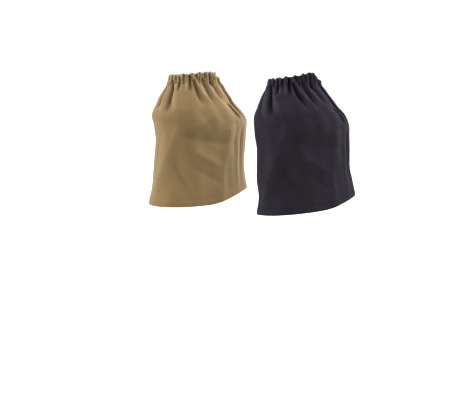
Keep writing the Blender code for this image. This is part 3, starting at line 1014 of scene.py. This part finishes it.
# The crest tone paints shade into creases and a paler tone onto crests, partly wear and partly painted
# highlight.
CREST_WEAR_AND_PAINTED_SHADE = 0.34
DRIFT_TONE = 0.32
BLOTCH_TONE = 0.14
SLUB_TONE = 0.22
FUZZ_TONE = 0.25
DRILL_ROUGHNESS = 0.86
ROUGHNESS_UNEVEN = 0.10
SLUB_HEIGHT = 1.2
FUZZ_HEIGHT = 0.8
WEAVE_STRENGTH = 0.55
WEAVE_DEPTH = 0.00012
SHEEN_ROUGHNESS = 0.45


def drill(name, deep, middle, pale_and_highlit, gloss, sheen_weight, sheen_tint):
    """Make woven cotton drill from its deep, middle and pale shades, its gloss and its sheen, with painted
    shade in creases and a painted highlight on crests.
    """
    material = bpy.data.materials.new(name)
    material.use_nodes = True
    tree = material.node_tree
    shader = tree.nodes["Principled BSDF"]
    start = Shade(tree)
    cut = start.node("ShaderNodeUVMap", {"uv_map": "cut"}, {}, "UV")
    place = start.node("ShaderNodeTexCoord", {}, {}, "Object")
    crest_wear_and_painted_shade = start.node("ShaderNodeAttribute", {"attribute_name": "crest_wear_and_painted_shade"}, {}, "Fac")
    slub = slubs(cut)
    fuzz = place.noise(FUZZ_SCALE, 3.0)
    drift = place.noise(DRIFT_SCALE, 3.0) - NOISE_MIDDLE
    blotch = place.noise(BLOTCH_SCALE, 2.0) - NOISE_MIDDLE

    # Crests are painted paler, partly wear and partly highlight, and creases darker as painted shade.
    tone = MIDDLE_TONE + crest_wear_and_painted_shade * CREST_WEAR_AND_PAINTED_SHADE + drift * DRIFT_TONE + blotch * BLOTCH_TONE
    tone = (tone + slub * SLUB_TONE + (fuzz - NOISE_MIDDLE) * FUZZ_TONE).clamped()
    lower = mix_colours((tone * 2.0).clamped(), deep, middle)
    colour = mix_colours((tone * 2.0 - 1.0).clamped(), lower, pale_and_highlit)
    rough = DRILL_ROUGHNESS + drift * ROUGHNESS_UNEVEN + slub * ROUGHNESS_UNEVEN
    height = twill(cut) + slub * SLUB_HEIGHT + fuzz * FUZZ_HEIGHT
    bump_values = {"Height": height, "Strength": WEAVE_STRENGTH, "Distance": WEAVE_DEPTH}
    bump = cut.node("ShaderNodeBump", {}, bump_values, "Normal")

    tree.links.new(colour.socket, shader.inputs["Base Color"])
    tree.links.new(rough.socket, shader.inputs["Roughness"])
    tree.links.new(bump.socket, shader.inputs["Normal"])
    shader.inputs["Specular IOR Level"].default_value = gloss
    shader.inputs["Sheen Weight"].default_value = sheen_weight
    shader.inputs["Sheen Roughness"].default_value = SHEEN_ROUGHNESS
    shader.inputs["Sheen Tint"].default_value = sheen_tint
    return material


# Each pale shade also carries the crests' painted highlight, and each deep shade the creases' painted shade.
cloth_finish = {
    "khaki": drill(
        "khaki_drill_cloth",
        deep=(0.108, 0.064, 0.023, 1.0),
        middle=(0.225, 0.145, 0.057, 1.0),
        pale_and_highlit=(0.292, 0.206, 0.100, 1.0),
        gloss=0.38,
        sheen_weight=0.14,
        sheen_tint=(1.0, 0.95, 0.85, 1.0),
    ),
    "navy": drill(
        "navy_drill_cloth",
        deep=(0.0160, 0.0138, 0.0180, 1.0),
        middle=(0.0240, 0.0206, 0.0275, 1.0),
        pale_and_highlit=(0.046, 0.042, 0.057, 1.0),
        gloss=0.02,
        sheen_weight=0.0,
        sheen_tint=(0.75, 0.80, 1.0, 1.0),
    ),
}
print("mixed", [finish.name for finish in cloth_finish.values()])

# %% [markdown]
# The stitches are in twisted thread. The khaki cover's is a shade lighter than its cloth and has a little
# gloss. The navy cover's is darker than its cloth and dull, so its rows hardly show. The twist is a fine
# slanted wave on each stitch.

# %% Mix the thread
TWIST_SCALE = 600.0
TWIST_UNEVEN = 1.5
TWIST_STRENGTH = 0.5
TWIST_DEPTH = 0.0001
THREAD_BLOTCH_SCALE = 90.0
THREAD_ROUGHNESS = 0.6


def thread(name, colour, rubbed, gloss):
    """Make sewing thread from its own colour, its paler, rubbed one and its gloss."""
    material = bpy.data.materials.new(name)
    material.use_nodes = True
    tree = material.node_tree
    shader = tree.nodes["Principled BSDF"]
    place = Shade(tree).node("ShaderNodeTexCoord", {}, {}, "Object")
    twist_values = {"Vector": place, "Scale": TWIST_SCALE, "Distortion": TWIST_UNEVEN}
    twist = place.node("ShaderNodeTexWave", {"bands_direction": "DIAGONAL"}, twist_values, "Fac")
    uneven = place.noise(THREAD_BLOTCH_SCALE, 2.0)
    hue = mix_colours((twist * 0.5 + uneven * 0.5).clamped(), colour, rubbed)
    bump_values = {"Height": twist, "Strength": TWIST_STRENGTH, "Distance": TWIST_DEPTH}
    bump = place.node("ShaderNodeBump", {}, bump_values, "Normal")
    tree.links.new(hue.socket, shader.inputs["Base Color"])
    tree.links.new(bump.socket, shader.inputs["Normal"])
    shader.inputs["Roughness"].default_value = THREAD_ROUGHNESS
    shader.inputs["Specular IOR Level"].default_value = gloss
    return material


thread_finish = {
    "khaki": thread("khaki_thread", (0.232, 0.155, 0.066, 1.0), (0.300, 0.212, 0.104, 1.0), 0.5),
    "navy": thread("navy_thread", (0.009, 0.008, 0.012, 1.0), (0.016, 0.014, 0.021, 1.0), 0.05),
}
print("mixed", [finish.name for finish in thread_finish.values()])

# %% [markdown]
# Each dressed piece now takes its finish, rides on the one body, and stands for its solid.

for cover in COVERS:
    pieces = (bodies[cover], casings[cover], hems[cover])
    for piece, node in zip(pieces, ("_body", "_casing", "_hem")):
        piece.data.materials.append(cloth_finish[cover])
        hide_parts(cover + node)
        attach(piece, "root")
    stitches[cover].data.materials.append(thread_finish[cover])
    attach(stitches[cover], "root")
    print(cover, "is dressed")
